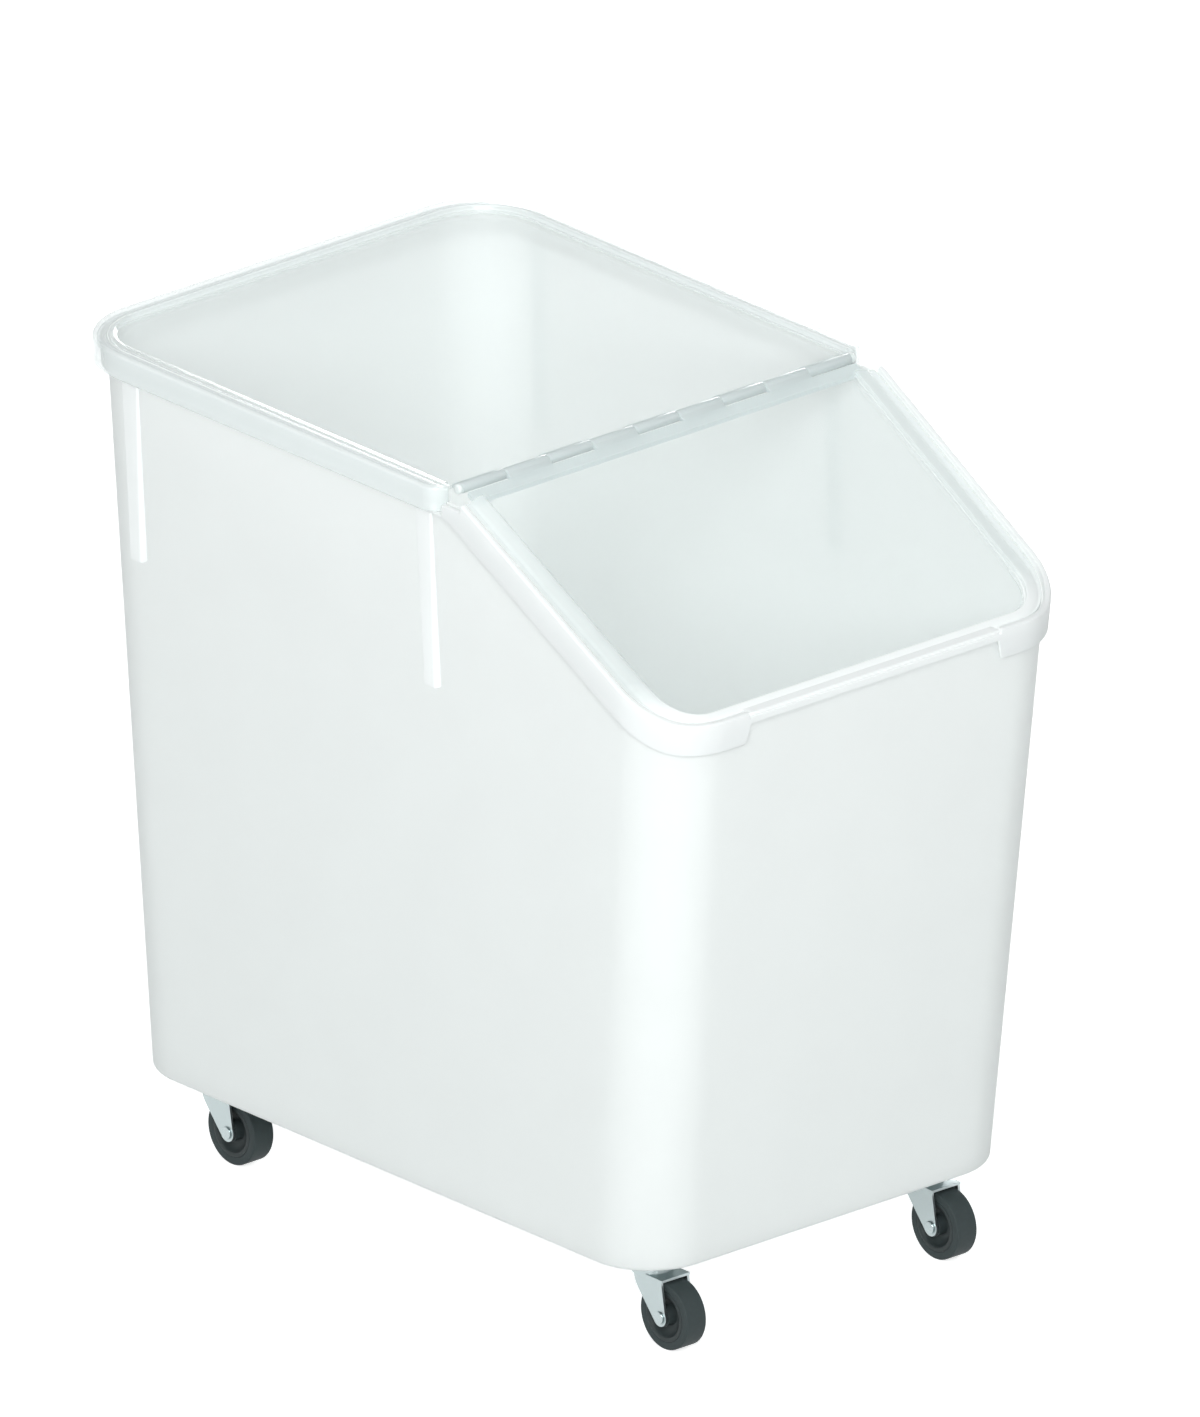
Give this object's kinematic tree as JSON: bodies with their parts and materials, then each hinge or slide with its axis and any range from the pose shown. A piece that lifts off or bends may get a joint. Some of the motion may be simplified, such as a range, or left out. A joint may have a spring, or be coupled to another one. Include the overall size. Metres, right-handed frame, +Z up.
{
  "type": "ingredient bin",
  "caption": "Mobile slant-top ingredient bin: tapered translucent tub, clear rear lid, clear sloping front lid hinged at the crest, steel swivel casters.",
  "frame": {"origin": "on the floor, at the middle of the bin's overall width and length", "axes": "+X to the bin's right seen from the front, +Y from the sloping front to the back, +Z up"},
  "size_m": [0.4138, 0.65, 0.63],
  "materials": {
    "tub_plastic": "moulded translucent white polyethylene, fine satin",
    "clear_plastic": "moulded clear polycarbonate, polished",
    "pin_steel": "drawn stainless rod",
    "cap_plastic": "moulded nylon",
    "caster_steel": "pressed steel, bright zinc plate",
    "bright_steel": "zinc plated fasteners",
    "ball_steel": "hardened ball steel",
    "bush_plastic": "moulded acetal",
    "wheel_plastic": "moulded dark grey polypropylene",
    "tread_rubber": "moulded grey thermoplastic rubber"
  },
  "bodies": {
    "tub": {"tub": "tub_plastic", "plate_fl": "caster_steel", "plate_screws_fl": "bright_steel", "balls_fl": "ball_steel", "kingpin_fl": "bright_steel", "plate_fr": "caster_steel", "plate_screws_fr": "bright_steel", "balls_fr": "ball_steel", "kingpin_fr": "bright_steel", "plate_rl": "caster_steel", "plate_screws_rl": "bright_steel", "balls_rl": "ball_steel", "kingpin_rl": "bright_steel", "plate_rr": "caster_steel", "plate_screws_rr": "bright_steel", "balls_rr": "ball_steel", "kingpin_rr": "bright_steel"},
    "rear_lid": {"rear_lid": "clear_plastic", "hinge_pin": "pin_steel", "pin_caps": "cap_plastic"},
    "front_lid": {"front_lid": "clear_plastic"},
    "caster_fl": {"fork_fl": "caster_steel", "axle_bolt_fl": "bright_steel", "axle_nut_fl": "bright_steel", "bush_fl": "bush_plastic"},
    "wheel_fl": {"hub_fl": "wheel_plastic", "tyre_fl": "tread_rubber"},
    "caster_fr": {"fork_fr": "caster_steel", "axle_bolt_fr": "bright_steel", "axle_nut_fr": "bright_steel", "bush_fr": "bush_plastic"},
    "wheel_fr": {"hub_fr": "wheel_plastic", "tyre_fr": "tread_rubber"},
    "caster_rl": {"fork_rl": "caster_steel", "axle_bolt_rl": "bright_steel", "axle_nut_rl": "bright_steel", "bush_rl": "bush_plastic"},
    "wheel_rl": {"hub_rl": "wheel_plastic", "tyre_rl": "tread_rubber"},
    "caster_rr": {"fork_rr": "caster_steel", "axle_bolt_rr": "bright_steel", "axle_nut_rr": "bright_steel", "bush_rr": "bush_plastic"},
    "wheel_rr": {"hub_rr": "wheel_plastic", "tyre_rr": "tread_rubber"}
  },
  "joints": [
    {"name": "lid_lift", "type": "slide", "parent": "tub", "child": "rear_lid", "axis": [0, 0, 1], "range_m": [0, 0.12]},
    {"name": "lid_hinge", "type": "hinge", "parent": "rear_lid", "child": "front_lid", "pos_m": [0, -0.08618, 0.626], "axis": [-1, 0, 0], "range_deg": [0, 180]},
    {"name": "swivel_fl", "type": "hinge", "parent": "tub", "child": "caster_fl", "pos_m": [-0.129, -0.22981, 0.0543], "axis": [0, 0, 1], "continuous": true},
    {"name": "roll_fl", "type": "hinge", "parent": "caster_fl", "child": "wheel_fl", "pos_m": [-0.129, -0.25241, 0.0254], "axis": [1, 0, 0], "continuous": true},
    {"name": "swivel_fr", "type": "hinge", "parent": "tub", "child": "caster_fr", "pos_m": [0.129, -0.22981, 0.0543], "axis": [0, 0, 1], "continuous": true},
    {"name": "roll_fr", "type": "hinge", "parent": "caster_fr", "child": "wheel_fr", "pos_m": [0.129, -0.25241, 0.0254], "axis": [1, 0, 0], "continuous": true},
    {"name": "swivel_rl", "type": "hinge", "parent": "tub", "child": "caster_rl", "pos_m": [-0.129, 0.23679, 0.0543], "axis": [0, 0, 1], "continuous": true},
    {"name": "roll_rl", "type": "hinge", "parent": "caster_rl", "child": "wheel_rl", "pos_m": [-0.129, 0.21419, 0.0254], "axis": [1, 0, 0], "continuous": true},
    {"name": "swivel_rr", "type": "hinge", "parent": "tub", "child": "caster_rr", "pos_m": [0.129, 0.23679, 0.0543], "axis": [0, 0, 1], "continuous": true},
    {"name": "roll_rr", "type": "hinge", "parent": "caster_rr", "child": "wheel_rr", "pos_m": [0.129, 0.21419, 0.0254], "axis": [1, 0, 0], "continuous": true}
  ]
}
